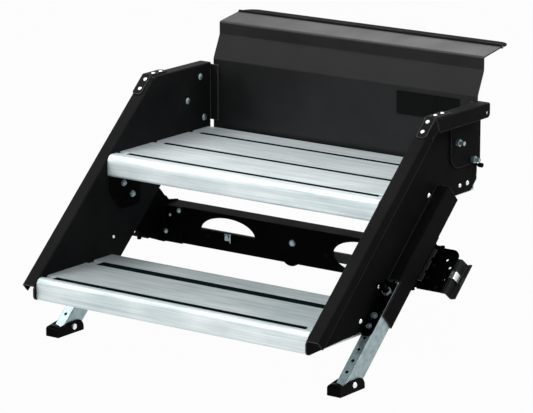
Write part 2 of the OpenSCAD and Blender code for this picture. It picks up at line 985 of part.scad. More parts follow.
module tread_screw(head_r) {
    rod_x(tread_screw_r, half_w - screw_len + 2, half_w + sheet + tiny, 0, 0);
    dome_x(head_r, screw_head_t, half_w + sheet, 0, 0);
}

module tread_screws() {
    color(bright)
        on_both() {
            for (i = [0:len(upper_screw_y) - 1])
                translate([0, upper_screw_y[i], upper_screw_h])
                    tread_screw(upper_screw_head_r[i]);
            for (i = [0:len(lower_screw_y) - 1])
                translate([0, lower_screw_y[i], lower_screw_h])
                    tread_screw(lower_screw_head_r[i]);
        }
}

// Gussets inside the side plates, below the upper tread's front

module tread_gusset() {
    top = tread_gusset_z;
    low = top - tread_gusset_h;
    outline = [[-27, top], [-27, top - 28], [5, low], [60, low], [60, top]];
    color(black)
        difference() {
            along_x(half_w - tread_gusset_t, half_w)
                polygon(rounded(outline, [4, 14, 12, 12, 4]));
            for (at = gusset_bolt_at)
                rod_x(gusset_bolt_r + bolt_fit, half_w - 10, half_w + 1, at[0], at[1]);
        }
}

module gusset_bolts() {
    collar_r = 6;
    collar = 2.5;
    head_r = 4.8;
    head_t = 5;
    collar_x = half_w - tread_gusset_t - collar;
    color(zinc)
        on_both()
            for (at = gusset_bolt_at) {
                rod_x(gusset_bolt_r, collar_x, half_w, at[0], at[1]);
                rod_x(collar_r, collar_x, half_w - tread_gusset_t, at[0], at[1]);
                translate([collar_x + tiny, at[0], at[1]])
                    rotate([0, -90, 0])
                        dome(head_r, head_t);
            }
}

// Crossbar

module crossbar() {
    face = [
        [crossbar_y + 15, crossbar_low],
        [crossbar_y, crossbar_low],
        [crossbar_y, crossbar_top],
        [crossbar_y + crossbar_d, crossbar_top]
    ];
    tab_r = 24;
    tab_x = -6;
    flat_z = opening_z;
    color(black)
        difference() {
            union() {
                along_x(-half_w, half_w)
                    polygon(folded(face, sheet, fold_r));
                rod_y(tab_r, crossbar_y, crossbar_y + sheet, tab_x, crossbar_low + tab_r - 4.5);
            }
            translate([opening_x, crossbar_y + sheet + 1, opening_z])
                rotate([90, 0, 0])
                    linear_extrude(sheet + 2)
                        polygon(oval(opening_w, opening_h));
            intersection() {
                translate([-opening_x, crossbar_y + sheet + 1, opening_z])
                    rotate([90, 0, 0])
                        linear_extrude(sheet + 2)
                            polygon(oval(opening_w, opening_h));
                translate([-half_w, crossbar_y - 2, flat_z])
                    cube([half_w, sheet + 4, opening_h]);
            }
            at_crossbar_bolts()
                rod_y(bolt_r + bolt_fit, crossbar_y - 1, crossbar_y + sheet + 1, 0, 0);
            at_bar_rivets()
                rod_y(bar_rivet_r + bolt_fit, crossbar_y - 1, crossbar_y + sheet + 1, 0, 0);
        }
}

module at_end_bolts() {
    for (at = end_bolts)
        for (side = [-1, 1])
            translate([side * (half_w - at[0]), 0, crossbar_top + at[1]])
                children();
}

module at_crossbar_bolts() {
    at_end_bolts()
        children();
    for (at = [middle_bolt, clip_bolt])
        translate([at[0], 0, crossbar_top + at[1]])
            children();
}

module at_bar_rivets() {
    for (at = bar_rivets)
        translate([at[0], 0, crossbar_top + at[1]])
            children();
}

module crossbar_bar() {
    color(dark_grey)
        difference() {
            translate([-bar_half, bar_y, bar_top_z - bar_h])
                cube([2 * bar_half, bar_t, bar_h]);
            rod_y(
                bolt_r + bolt_fit, bar_y - 1, bar_y + bar_t + 1,
                clip_bolt[0], crossbar_top + clip_bolt[1]
            );
            at_bar_rivets()
                rod_y(bar_rivet_r + bolt_fit, bar_y - 1, bar_y + bar_t + 1, 0, 0);
        }
}

// Low black rivets that hold the flat bar
module bar_rivet_set() {
    color(black)
        at_bar_rivets() {
            rod_y(bar_rivet_r, crossbar_y - tiny, bar_y + bar_t + tiny, 0, 0);
            dome_y(3.6, 1.4, 0, crossbar_y, 0);
            rod_y(bar_rivet_r + 1, bar_y + bar_t, bar_y + bar_t + 1.2, 0, 0);
        }
}

// A bolt through the crossbar with its head in front of face_y
module crossbar_bolt(face_y, head_r, head_t, tail) {
    rod_y(bolt_r, face_y - tiny, crossbar_y + sheet + tail, 0, 0);
    dome_y(head_r, head_t, 0, face_y, 0);
}

module crossbar_bolts() {
    flange_face = crossbar_y - sheet;
    color(zinc) {
        for (i = [0:2])
            for (side = [-1, 1])
                translate([side * (half_w - end_bolts[i][0]), 0, crossbar_top + end_bolts[i][1]])
                    crossbar_bolt(flange_face, end_bolt_r[i], end_bolt_t[i], 6);
        translate([middle_bolt[0], 0, crossbar_top + middle_bolt[1]])
            crossbar_bolt(crossbar_y, 6.5, 5, 6);
        translate([clip_bolt[0], 0, crossbar_top + clip_bolt[1]])
            crossbar_bolt(crossbar_y - clip_t, 4.5, 5, bar_t + 5);
    }
}

clip_t = 1.5;

// A sprung clip of bent strip, its foot under a bolt and its free leg standing off
module crossbar_clip() {
    bend_x = clip_bolt[0] + 8;
    path = [
        [clip_bolt[0] - 6, crossbar_y],
        [bend_x, crossbar_y],
        [bend_x + 8, crossbar_y - 13]
    ];
    color(zinc)
        difference() {
            translate([0, 0, crossbar_top + clip_bolt[1] - 9])
                linear_extrude(13)
                    polygon(folded(path, clip_t, 1));
            rod_y(
                bolt_r + bolt_fit, crossbar_y - 5, crossbar_y + 1,
                clip_bolt[0], crossbar_top + clip_bolt[1]
            );
        }
}

// Crossbar ends

function slope_point(s, c) = [y_at(s, c), z_at(s, c)];

module crossbar_gusset() {
    inner_y = crossbar_y - sheet;
    web = [
        slope_point(gusset_s[1], rear_c - sheet / 2),
        slope_point(gusset_s[1], rear_c - gusset_step),
        [crossbar_y + crossbar_d, crossbar_top + 2],
        [crossbar_y + crossbar_d, crossbar_low - 2],
        [crossbar_y - 2, crossbar_low - 2],
        slope_point(gusset_s[0] + 3, rear_c - 23),
        slope_point(gusset_s[0], rear_c - sheet / 2)
    ];
    color(black)
        difference() {
            union() {
                along_x(half_w, half_w + sheet)
                    polygon(rounded(web, [2, 4, 3, 3, 3, 4, 2]));
                translate([half_w - gusset_flange, inner_y, crossbar_low])
                    cube([gusset_flange + sheet, sheet, crossbar_h]);
                on_slope()
                    translate([half_w, gusset_s[0], rear_c - sheet])
                        cube([flange_w - 2, gusset_s[1] - gusset_s[0], sheet]);
                translate([half_w, gusset_tab_y - 6, gusset_tab_z])
                    cube([gusset_tab, 14, sheet]);
            }
            at_end_bolts()
                rod_y(bolt_r + bolt_fit, inner_y - 1, inner_y + sheet + 1, 0, 0);
        }
}

module notched_strip() {
    color(dark_grey)
        on_slope()
            difference() {
                translate([half_w + sheet + tiny, strip_s[0], rear_c - 2 * sheet])
                    cube([strip_reach - sheet, strip_s[1] - strip_s[0], sheet]);
                for (s = strip_notches)
                    translate([half_w + strip_reach, strip_s[0] + s, rear_c - 2 * sheet - 1])
                        cylinder(r = notch_r, h = sheet + 2);
            }
}

module end_plate() {
    x0 = half_w + sheet;
    color(black)
        on_slope()
            difference() {
                union() {
                    translate([0, 0, end_plate_c])
                        linear_extrude(end_plate_t)
                            polygon(rounded(
                                box_outline([x0, plate_s[0]], [plate_x, plate_s[1]]),
                                [0, 3, end_plate_r, 0]
                            ));
                    translate([x0, plate_s[0], end_plate_c])
                        cube([end_plate_t, end_plate_len, 16]);
                }
                for (at = plate_holes)
                    translate([half_w + at[0] + 2.5, plate_s[0] + at[1], end_plate_c - 1])
                        cylinder(r = plate_hole_r, h = end_plate_t + 2);
            }
}

module frame_hook() {
    path = [
        [plate_x - 3.2, end_plate_c],
        [hook_x, end_plate_c],
        [hook_x + 4, end_plate_c - hook_depth],
        [hook_x + 14, end_plate_c - hook_depth + 3.5]
    ];
    color(dark_grey)
        on_slope()
            along_y(hook_s0, hook_s0 + hook_len)
                polygon(folded(path, sheet, 1));
}

module hook_clips() {
    clip_w = 15;
    clip_t = 2;
    fit = 0.3;
    path = [
        [plate_x + 0.5, end_plate_c + fit + clip_t],
        [hook_x + 3, end_plate_c + fit + clip_t],
        [hook_x + 5.8, end_plate_c - hook_depth + 3]
    ];
    color(zinc)
        on_both()
            on_slope()
                along_y(hook_s0 + 31, hook_s0 + 31 + clip_w)
                    polygon(folded(path, clip_t, 0.6));
}

// Pin brackets

module pin_bracket() {
    x0 = half_w + sheet;
    x1 = leg_x + leg_w / 2 - 0.5;
    bore_depth = barrel_h - barrel_lid;
    color(black)
        difference() {
            on_slope() {
                translate([0, 0, guide_c])
                    linear_extrude(guide_t)
                        polygon(rounded(
                            box_outline([x0, guide_low_s], [x1, guide_high_s]), [9, 9, 2, 0]
                        ));
                translate([x0, guide_low_s + 4, guide_c])
                    cube([guide_t, guide_high_s - guide_low_s - 4, guide_flange]);
                translate([leg_x, pin_s, guide_front_c])
                    cylinder(r = barrel_r, h = barrel_h);
            }
            on_slope() {
                translate([leg_x, pin_s, guide_c - 1])
                    cylinder(r = pin_r + bolt_fit, h = barrel_h + guide_t + 2);
                translate([leg_x, pin_s, guide_front_c])
                    cylinder(r = barrel_bore_r, h = bore_depth);
                rod_x(web_rivet_r + bolt_fit, x0 - 1, x0 + guide_t + 1, web_rivet_at[0], web_rivet_at[1]);
            }
        }
}

// Nuts that are pressed onto the pin bracket's front face
module pin_bracket_nuts() {
    color(zinc)
        on_both()
            on_slope() {
                for (i = [0:1])
                    translate([leg_x, guide_nut_s[i], guide_front_c]) {
                        cylinder(r = guide_nut_r[i], h = guide_nut_t[i], $fn = 6);
                        cylinder(r = guide_nut_r[i] * 0.55, h = guide_nut_t[i] + 2);
                    }
                translate([leg_x, pin_s, guide_front_c])
                    difference() {
                        cylinder(r = base_nut_r, h = base_nut_t, $fn = 6);
                        translate([0, 0, -1])
                            cylinder(r = barrel_r + bolt_fit, h = base_nut_t + 2);
                    }
            }
}

module web_rivets() {
    x0 = half_w;
    color(bright)
        on_both()
            on_slope() {
                rod_x(
                    web_rivet_r, x0 - tiny, x0 + sheet + guide_t,
                    web_rivet_at[0], web_rivet_at[1]
                );
                translate([x0, web_rivet_at[0], web_rivet_at[1]])
                    rotate([0, -90, 0])
                        dome(3.2, 2);
                rod_x(
                    web_stud_r, x0 + sheet - web_stud_depth, x0 + sheet + tiny,
                    web_stud_at[0], web_stud_at[1]
                );
                dome_x(3.6, 2.2, x0 + sheet, web_stud_at[0], web_stud_at[1]);
            }
}

// A rubber bumper on a stem, standing on the XY plane
module bumper() {
    cylinder(r = 2.5, h = 8);
    translate([0, 0, 7])
        cylinder(r = 4.2, h = 7.5);
}

module bumpers() {
    color(rubber)
        on_both() {
            translate([half_w + sheet, side_rear_y - 3.5, bracket_low_z - 4.6])
                rotate([0, 90, 0])
                    bumper();
            translate([half_w + sheet + 5, gusset_tab_y, gusset_tab_z])
                rotate([180, 0, 0])
                    bumper();
        }
}

// Legs

// The part of the leg that stays clear of the foot's base at either tilt
module leg_end_cut() {
    reach = 400;
    drop = (pivot_h - foot_base_t - leg_end_gap) / cos(foot_tilt);
    lift = reach * tan(foot_tilt);
    along_x(half_w - 20, flange_x + 20)
        polygon([
            [pivot_y, pivot_h - drop],
            [pivot_y + reach, pivot_h - drop + lift],
            [pivot_y + reach, pivot_h + 3 * reach],
            [pivot_y - reach, pivot_h + 3 * reach],
            [pivot_y - reach, pivot_h - drop + lift]
        ]);
}

module leg_tube() {
    x0 = leg_x - leg_w / 2;
    color(zinc)
        difference() {
            intersection() {
                on_slope()
                    along_y(pivot_s - 60, leg_top_s)
                        difference() {
                            polygon(rounded(
                                box_outline([x0, leg_back_c], [x0 + leg_w, leg_front_c]), [2.5, 2.5, 2.5, 2.5]
                            ));
                            polygon(rounded(
                                box_outline(
                                    [x0 + leg_wall, leg_back_c + leg_wall],
                                    [x0 + leg_w - leg_wall, leg_front_c - leg_wall]
                                ),
                                [1, 1, 1, 1]
                            ));
                        }
                leg_end_cut();
            }
            on_slope()
                for (i = [-holes_below:holes_above])
                    translate([leg_x, pin_s + i * hole_pitch, leg_front_c - leg_wall - 1])
                        cylinder(r = lock_hole_r, h = leg_wall + 2);
            rod_x(pivot_bolt_r + pivot_fit, x0 - 1, x0 + leg_w + 1, pivot_y, pivot_h);
        }
}

module foot() {
    low = [pivot_y - foot_front, 0];
    high = [pivot_y + foot_rear, foot_h];
    shoulder = foot_h - foot_crown;
    side = [low, [high[0], 0], high, [pivot_y - foot_brow, foot_h], [low[0], shoulder]];
    outer = rounded(side, [1.5, 1.5, foot_end_r, 12, foot_nose_r]);
    crown_r = (foot_half * foot_half + foot_crown * foot_crown) / (2 * foot_crown);
    cheek_x = leg_w / 2 + foot_gap;
    color(rubber)
        difference() {
            union() {
                along_x(leg_x - foot_half, leg_x + foot_half)
                    polygon(outer);
                along_y(low[0] + 2, low[0] + foot_nose)
                    intersection() {
                        translate([leg_x, foot_h - crown_r])
                            circle(r = crown_r, $fn = 96);
                        translate([leg_x - foot_half, shoulder / 2])
                            square([2 * foot_half, foot_h]);
                    }
            }
            along_x(leg_x - cheek_x, leg_x + cheek_x)
                polygon([
                    [low[0] + foot_nose, foot_base_t],
                    [high[0] + 10, foot_base_t],
                    [high[0] + 10, foot_h + 10],
                    [low[0] + foot_nose, foot_h + 10]
                ]);
            rod_x(pivot_bolt_r + pivot_fit, leg_x - 40, leg_x + 40, pivot_y, pivot_h);
        }
}

module foot_bolt() {
    head_gap = 0.3;
    outer_x = leg_x + foot_half + head_gap;
    inner_x = leg_x - foot_half - head_gap;
    color(bright) {
        rod_x(pivot_bolt_r, inner_x - 5, outer_x + tiny, pivot_y, pivot_h);
        dome_x(5.5, 3.5, outer_x, pivot_y, pivot_h);
        translate([inner_x - 4, pivot_y, pivot_h])
            rotate([0, 90, 0])
                cylinder(r = 6, h = 4, $fn = 6);
    }
}

module leg_pin() {
    tip_c = leg_front_c + pin_clear;
    top_c = guide_front_c + barrel_h;
    color(zinc)
        on_slope()
            translate([leg_x, pin_s, 0]) {
                translate([0, 0, tip_c])
                    cylinder(r = pin_r, h = top_c + knob_gap + knob_h - 2 - tip_c);
                translate([0, 0, guide_front_c])
                    cylinder(r = barrel_bore_r - 0.3, h = collar_t);
            }
}

// The black cap that a hand pulls, pressed onto the pin
module pin_knob() {
    low_c = guide_front_c + barrel_h + knob_gap;
    color(black)
        on_slope()
            translate([leg_x, pin_s, low_c])
                difference() {
                    union() {
                        cylinder(r = knob_r, h = knob_h - 1.5);
                        translate([0, 0, knob_h - 1.5])
                            dome(knob_r, 1.5);
                    }
                    translate([0, 0, -1])
                        cylinder(r = pin_r + bolt_fit, h = knob_h - 1);
                }
}

// The pin's spring, drawn at its shortest length against the barrel's lid
module pin_spring() {
    top_c = guide_front_c + barrel_h - barrel_lid;
    color(zinc)
        on_slope()
            translate([leg_x, pin_s, top_c - spring_h - spring_gap])
                difference() {
                    cylinder(r = barrel_bore_r - 0.3, h = spring_h);
                    translate([0, 0, -1])
                        cylinder(r = pin_r + 0.4, h = spring_h + 2);
                }
}

place() threshold_leaf();
place() hinge_pin();
place() back_panel();
place() label_plate();
place() on_left() mount_bracket();  // mount_bracket_left
place() mount_bracket();  // mount_bracket_right
place() bracket_bolts();
place() bracket_nuts();
place() on_left() side_plate();  // side_plate_left
place() side_plate();  // side_plate_right
place() on_left() corner_strap();  // corner_strap_left
place() corner_strap();  // corner_strap_right
place() strap_rivets();
place() upper_tread();
place() lower_tread();
place() tread_strips();
place() tread_screws();
place() on_left() tread_gusset();  // tread_gusset_left
place() tread_gusset();  // tread_gusset_right
place() gusset_bolts();
place() crossbar();
place() crossbar_bar();
place() bar_rivet_set();  // bar_rivets
place() crossbar_bolts();
place() crossbar_clip();
place() on_left() crossbar_gusset();  // crossbar_gusset_left
place() crossbar_gusset();  // crossbar_gusset_right
place() on_left() notched_strip();  // notched_strip_left
place() notched_strip();  // notched_strip_right
place() on_left() end_plate();  // end_plate_left
place() end_plate();  // end_plate_right
place() on_left() frame_hook();  // frame_hook_left
place() frame_hook();  // frame_hook_right
place() hook_clips();
place() on_left() pin_bracket();  // pin_bracket_left
place() pin_bracket();  // pin_bracket_right
place() pin_bracket_nuts();
place() web_rivets();
place() bumpers();
place() on_left() leg_tube();  // leg_tube_left
place() leg_tube();  // leg_tube_right
place() on_left() foot();  // foot_left
place() foot();  // foot_right
place() on_left() foot_bolt();  // foot_bolt_left
place() foot_bolt();  // foot_bolt_right
place() on_left() leg_pin();  // leg_pin_left
place() leg_pin();  // leg_pin_right
place() on_left() pin_knob();  // pin_knob_left
place() pin_knob();  // pin_knob_right
place() on_left() pin_spring();  // pin_spring_left
place() pin_spring();  // pin_spring_right
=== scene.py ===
"""Looks for a fold-down entry step: black powder-coated steel, aluminium treads and zinc legs.

Sizes are in metres and named angles in degrees. The origin is the middle of the threshold screw
line, +X runs across the doorway, +Y into the vehicle and +Z up.
"""

import math

import bpy
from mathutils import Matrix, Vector


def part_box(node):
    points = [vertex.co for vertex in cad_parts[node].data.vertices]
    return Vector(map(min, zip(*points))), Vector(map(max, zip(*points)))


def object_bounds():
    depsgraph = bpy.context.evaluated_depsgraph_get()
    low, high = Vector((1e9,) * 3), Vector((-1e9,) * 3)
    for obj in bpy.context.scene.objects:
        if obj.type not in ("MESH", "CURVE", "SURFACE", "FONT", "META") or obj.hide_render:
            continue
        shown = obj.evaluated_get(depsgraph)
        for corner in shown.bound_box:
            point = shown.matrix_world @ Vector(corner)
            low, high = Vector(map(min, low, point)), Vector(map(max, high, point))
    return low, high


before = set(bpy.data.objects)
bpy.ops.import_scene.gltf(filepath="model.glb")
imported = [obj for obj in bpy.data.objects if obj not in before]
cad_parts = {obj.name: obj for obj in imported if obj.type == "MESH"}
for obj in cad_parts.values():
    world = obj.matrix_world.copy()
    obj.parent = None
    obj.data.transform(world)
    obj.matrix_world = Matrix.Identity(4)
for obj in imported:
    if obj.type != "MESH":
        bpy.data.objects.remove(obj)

cad_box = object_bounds()

# Camera, worked out from the straight edges in the photograph
CAMERA_AT = (3.4476, -5.0360, 1.1523)
CAMERA_TILT = 76.21
CAMERA_TURN = 36.22
LENS_MM = 224.4
SENSOR_MM = 36
CLIP_END = 200

# Studio: the floor lies under the feet, which are the step's lowest points
GROUND_Z = cad_box[0][2]
FLOOR_SIDE = 80
PAPER_TONE = "#9a9a9a"
PAPER_GLOW = 0.97
WORLD_FILL = 0.04
# Square softboxes: name, place, target, side and watts
SOFTBOXES = (
    ("key softbox, high left", (-1.8, -1.3, 2.3), (0, -0.2, -0.2), 1.8, 62),
    ("softbox front", (-0.9, -3.8, 0.9), (0, -0.3, -0.25), 2.6, 18),
    ("softbox top", (0.3, -0.8, 3.0), (0, -0.2, -0.2), 2.4, 52),
    ("softbox behind", (-1.7, 2.9, 1.9), (0, 0, 0), 1.6, 17),
    ("small softbox, right", (0.9, 0.35, 0.55), (0.3, 0, -0.15), 0.35, 3.5),
)

# The range that holds most of a noise's values
NOISE_LOW = 0.3
NOISE_HIGH = 0.7

# Powder coat. Orange peel is about 1.5 mm across; it is drawn at 3 mm so that it shows
PEEL_SIZE = 0.003
PEEL_BUMP = (0.06, 0.0004)
MOTTLE_SIZE = 0.07
FOLD_WIDTH = 0.0016
# A fold shows where the rounded normal turns from the true one, between these two cosines
FOLD_START = 0.99
FOLD_FULL = 0.8
BEVEL_SAMPLES = 6

# Aluminium. Die lines are about 0.5 mm wide; they are drawn at 4 mm across and 240 mm long
DIE_LINE_SIZE = 0.004
DIE_LINE_STRETCH = (60, 1, 1)
DIE_LINE_BUMP = (0.12, 0.0002)
CLOUD_SIZE = 0.035
CLOUD_STRETCH = (3, 1, 1)
CLOUD_SHARE = 0.45
TREAD_ROUGHNESS = (0.7, 0.58)

# Zinc. Its grain is too fine to show, and is drawn at 1.2 mm
ZINC_CLOUD_SIZE = 0.012
ZINC_GRAIN_SIZE = 0.0012
ZINC_BUMP = (0.08, 0.0002)

# Moulded skins. Their pebbles are too fine to show, and are drawn at 1.6 to 4 mm
MOULD_CLOUD_SIZE = 0.02
MOULD_BUMP_HEIGHT = 0.0004

COAT_IOR = 1.5

# How a face's tone goes with the way it looks, as pairs of its normal's height and a factor. They
# copy the light in the photograph, and no factor is above RAMP_TOP
RAMP_TOP = 3
# Back panel: upright faces, two slight folds, the leaning face, the top bend and the top slope
PANEL_FACING = (
    (0.03, 1.0), (0.1, 1.7), (0.34, 1.7), (0.39, 0.52),
    (0.43, 0.52), (0.5, 2.6), (0.86, 2.6), (0.94, 1.5),
)
# Treads: upright faces, the round of the nose and the level top; the lower top has painted shade
UPPER_FACING = ((0.1, 1.0), (0.35, 0.8), (0.8, 0.8), (0.97, 0.86))
LOWER_FACING = ((0.1, 1.0), (0.35, 0.8), (0.8, 0.8), (0.97, 0.64))

# Threshold hinge: the knuckles lie within this reach of the pin's axis, which runs along X
HINGE_AT = tuple((low + high) / 2 for low, high in zip(*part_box("hinge_pin")))
KNUCKLE_REACH = 0.0055
KNUCKLE_EDGE = 0.001
KNUCKLE_TONE = "#1a1a1a"
KNUCKLE_SPECULAR = 0.01

# Socket numbers of a Mix node that mixes colours
MIX_FACTOR = 0
MIX_A = 6
MIX_B = 7
MIX_RESULT = 2


def linear(hex_colour):
    """A hex sRGB colour as linear RGBA."""
    channels = []
    for start in (1, 3, 5):
        value = int(hex_colour[start:start + 2], 16) / 255
        channels.append(value / 12.92 if value <= 0.04045 else ((value + 0.055) / 1.055) ** 2.4)
    return (*channels, 1)


def add_node(tree, kind, settings=None, sources=None):
    """Adds a node. Settings that name or number a socket go to it, and sources are its links."""
    made = tree.nodes.new(kind)
    for name, value in (settings or {}).items():
        if isinstance(name, int) or name in made.inputs:
            made.inputs[name].default_value = value
        else:
            setattr(made, name, value)
    for name, source in (sources or {}).items():
        tree.links.new(source, made.inputs[name])
    return made


def new_material(name):
    """An empty node material and its tree."""
    material = bpy.data.materials.new(name)
    material.use_nodes = True
    material.node_tree.nodes.clear()
    return material, material.node_tree


def object_noise(tree, size_m, detail=2.0, roughness=0.5, stretch=(1, 1, 1)):
    """Noise on Object coordinates whose features are about size_m across, before any stretch."""
    place = add_node(tree, "ShaderNodeTexCoord")
    mapping = add_node(
        tree,
        "ShaderNodeMapping",
        {"Scale": tuple(1 / s for s in stretch)},
        {"Vector": place.outputs["Object"]},
    )
    return add_node(
        tree,
        "ShaderNodeTexNoise",
        {"Scale": 1 / size_m, "Detail": detail, "Roughness": roughness},
        {"Vector": mapping.outputs["Vector"]},
    )


def uneven(tree, source, dark, light, roughness):
    """A tone between two hex colours and a roughness that vary together with a noise."""
    ramp = add_node(tree, "ShaderNodeValToRGB", sources={"Fac": source})
    ends = ramp.color_ramp.elements
    ends[0].position = NOISE_LOW
    ends[0].color = linear(dark)
    ends[1].position = NOISE_HIGH
    ends[1].color = linear(light)
    at_dark, at_light = roughness
    sheen = add_node(
        tree,
        "ShaderNodeMapRange",
        {"From Min": NOISE_LOW, "From Max": NOISE_HIGH, "To Min": at_dark, "To Max": at_light},
        {"Value": source},
    )
    return {"Base Color": ramp.outputs["Color"], "Roughness": sheen.outputs["Result"]}


def finish_surface(tree, settings, sources, grain, bump):
    """Adds the bump of a grain, as strength and height, then the shader and the output."""
    strength, height = bump
    skin = add_node(
        tree,
        "ShaderNodeBump",
        {"Strength": strength, "Distance": height},
        {"Height": grain.outputs["Fac"]},
    )
    shader = add_node(
        tree,
        "ShaderNodeBsdfPrincipled",
        settings,
        {**sources, "Normal": skin.outputs["Normal"]},
    )
    add_node(tree, "ShaderNodeOutputMaterial", sources={"Surface": shader.outputs["BSDF"]})


def fold_mask(tree, radius):
    """White along edges and folds within about radius, black on flat faces."""
    soft = add_node(tree, "ShaderNodeBevel", {"samples": BEVEL_SAMPLES, "Radius": radius})
    true = add_node(tree, "ShaderNodeNewGeometry")
    turn = add_node(
        tree,
        "ShaderNodeVectorMath",
        {"operation": "DOT_PRODUCT"},
        {0: soft.outputs["Normal"], 1: true.outputs["Normal"]},
    )
    mask = add_node(
        tree,
        "ShaderNodeMapRange",
        {"From Min": FOLD_START, "From Max": FOLD_FULL},
        {"Value": turn.outputs["Value"]},
    )
    return mask.outputs["Result"]


def painted_light_by_facing(tree, colour, stops):
    """Painted light and shade: scales a colour by how far a face looks up, by stops of height and
    factor.
    """
    place = add_node(tree, "ShaderNodeTexCoord")
    facing = add_node(tree, "ShaderNodeSeparateXYZ", sources={"Vector": place.outputs["Normal"]})
    ramp = add_node(tree, "ShaderNodeValToRGB", sources={"Fac": facing.outputs["Z"]})
    elements = ramp.color_ramp.elements
    elements.remove(elements[1])
    for i, (height, factor) in enumerate(stops):
        element = elements[0] if i == 0 else elements.new(height)
        element.position = height
        element.color = (*[factor / RAMP_TOP] * 3, 1)
    share = add_node(
        tree,
        "ShaderNodeMath",
        {"operation": "MULTIPLY", 1: RAMP_TOP},
        {0: ramp.outputs["Color"]},
    )
    scaled = add_node(
        tree,
        "ShaderNodeVectorMath",
        {"operation": "SCALE"},
        {"Vector": colour, "Scale": share.outputs[0]},
    )
    return scaled.outputs["Vector"]


def hinge_zone(tree):
    """White round the threshold hinge's knuckles and black elsewhere, on Object coordinates."""
    place = add_node(tree, "ShaderNodeTexCoord")
    from_hinge = add_node(
        tree,
        "ShaderNodeVectorMath",
        {"operation": "SUBTRACT", 1: HINGE_AT},
        {0: place.outputs["Object"]},
    )
    from_axis = add_node(
        tree,
        "ShaderNodeVectorMath",
        {"operation": "MULTIPLY", 1: (0, 1, 1)},
        {0: from_hinge.outputs["Vector"]},
    )
    length = add_node(
        tree,
        "ShaderNodeVectorMath",
        {"operation": "LENGTH"},
        {0: from_axis.outputs["Vector"]},
    )
    zone = add_node(
        tree,
        "ShaderNodeMapRange",
        {"From Min": KNUCKLE_REACH, "From Max": KNUCKLE_REACH - KNUCKLE_EDGE},
        {"Value": length.outputs["Value"]},
    )
    return zone.outputs["Result"]


def powder_coat(
    name, dark, light, roughness, specular, fold_highlight="#000000", fold_width=FOLD_WIDTH, bent_sheet=False
):
    """Polyester powder coat on steel: satin, with the faint orange peel that baked powder has.

    A painted highlight, a lighter tone, is added along folds. On the bent sheet of the back panel,
    painted light and shade go by the faces' lean, and the knuckles have the leaf's tone.
    """
    material, tree = new_material(name)
    peel = object_noise(tree, PEEL_SIZE, detail=1.0)
    mottle = object_noise(tree, MOTTLE_SIZE, detail=3.0)
    look = uneven(tree, mottle.outputs["Fac"], dark, light, roughness)
    # Painted highlight: a lighter tone added along folds and edges
    highlighted = add_node(
        tree,
        "ShaderNodeMix",
        {"data_type": "RGBA", "blend_type": "ADD", MIX_B: linear(fold_highlight)},
        {MIX_FACTOR: fold_mask(tree, fold_width), MIX_A: look["Base Color"]},
    )
    look["Base Color"] = highlighted.outputs[MIX_RESULT]
    if bent_sheet:
        # Painted light and shade by the faces' lean, and the knuckles in the leaf's tone
        zone = hinge_zone(tree)
        knuckled = add_node(
            tree,
            "ShaderNodeMix",
            {"data_type": "RGBA", MIX_B: linear(KNUCKLE_TONE)},
            {MIX_FACTOR: zone, MIX_A: painted_light_by_facing(tree, look["Base Color"], PANEL_FACING)},
        )
        look["Base Color"] = knuckled.outputs[MIX_RESULT]
        level = add_node(
            tree,
            "ShaderNodeMapRange",
            {"To Min": specular, "To Max": KNUCKLE_SPECULAR},
            {"Value": zone},
        )
        look["Specular IOR Level"] = level.outputs["Result"]
    settings = {"IOR": COAT_IOR, "Specular IOR Level": specular}
    finish_surface(tree, settings, look, peel, PEEL_BUMP)
    return material


def extruded_aluminium(name, dark, light, facing):
    """Clear-anodised extrusion: fine die lines run along X, with soft cloudy patches under them."""
    material, tree = new_material(name)
    lines = object_noise(
        tree, DIE_LINE_SIZE, detail=3.0, roughness=0.6, stretch=DIE_LINE_STRETCH
    )
    clouds = object_noise(tree, CLOUD_SIZE, detail=3.0, stretch=CLOUD_STRETCH)
    mixed = add_node(
        tree,
        "ShaderNodeMix",
        {"data_type": "FLOAT", "Factor": CLOUD_SHARE},
        {"A": lines.outputs["Fac"], "B": clouds.outputs["Fac"]},
    )
    look = uneven(tree, mixed.outputs["Result"], dark, light, TREAD_ROUGHNESS)
    # Painted light and shade: the tone goes by the way each face looks
    look["Base Color"] = painted_light_by_facing(tree, look["Base Color"], facing)
    finish_surface(tree, {"Metallic": 1.0}, look, lines, DIE_LINE_BUMP)
    return material


def zinc_plate(name, dark, light, roughness):
    """Zinc or bright plating on steel: slightly cloudy, with the fine grain of the stock."""
    material, tree = new_material(name)
    clouds = object_noise(tree, ZINC_CLOUD_SIZE, detail=3.0)
    grain = object_noise(tree, ZINC_GRAIN_SIZE)
    look = uneven(tree, clouds.outputs["Fac"], dark, light, roughness)
    finish_surface(tree, {"Metallic": 1.0}, look, grain, ZINC_BUMP)
    return material


def moulded(name, dark, light, roughness, specular, pebble_m, strength):
    """Moulded plastic, rubber or enamel with a fine pebbled skin."""
    material, tree = new_material(name)
    pebbles = object_noise(tree, pebble_m, detail=1.0)
    clouds = object_noise(tree, MOULD_CLOUD_SIZE)
    look = uneven(tree, clouds.outputs["Fac"], dark, light, roughness)
    settings = {"IOR": COAT_IOR, "Specular IOR Level": specular}
    finish_surface(tree, settings, look, pebbles, (strength, MOULD_BUMP_HEIGHT))
    return material


def both(*pieces):
    """The names of pieces that come as a left and a right one."""
    return [piece + side for piece in pieces for side in ("_left", "_right")]


def paint(material, nodes):
    """Gives CAD nodes a material."""
    for node in nodes:
        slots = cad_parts[node].data.materials
        slots.clear()
        slots.append(material)


